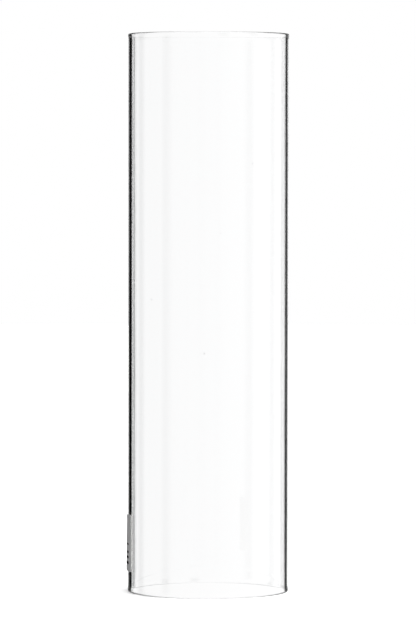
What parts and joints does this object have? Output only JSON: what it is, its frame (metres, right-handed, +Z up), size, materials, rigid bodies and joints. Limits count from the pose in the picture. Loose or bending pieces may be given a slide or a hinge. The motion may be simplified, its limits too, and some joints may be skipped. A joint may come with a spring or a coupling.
{
  "type": "open-ended glass cylinder vase",
  "caption": "Tall straight clear glass cylinder, open at both ends, with fire-polished rims and a small paper label, for floral displays and candle shades.",
  "frame": {"origin": "centre of the foot, on the surface the cylinder stands on", "axes": "+Z up the cylinder's axis; the label is on the -X side, its middle turned 7.3 degrees towards -Y; -Y is the side seen from the front"},
  "size_m": [0.1448, 0.1448, 0.5],
  "materials": {
    "clear_glass": "clear soda-lime glass, fire-polished, faint grey-green in its thickness",
    "label_adhesive": "clear acrylic adhesive film",
    "label_paper": "uncoated matte label paper",
    "label_ink": "dry matte printing ink"
  },
  "bodies": {
    "root": {"glass_cylinder": "clear_glass", "label_adhesive": "label_adhesive", "label_paper": "label_paper", "label_print": "label_ink"}
  },
  "joints": []
}
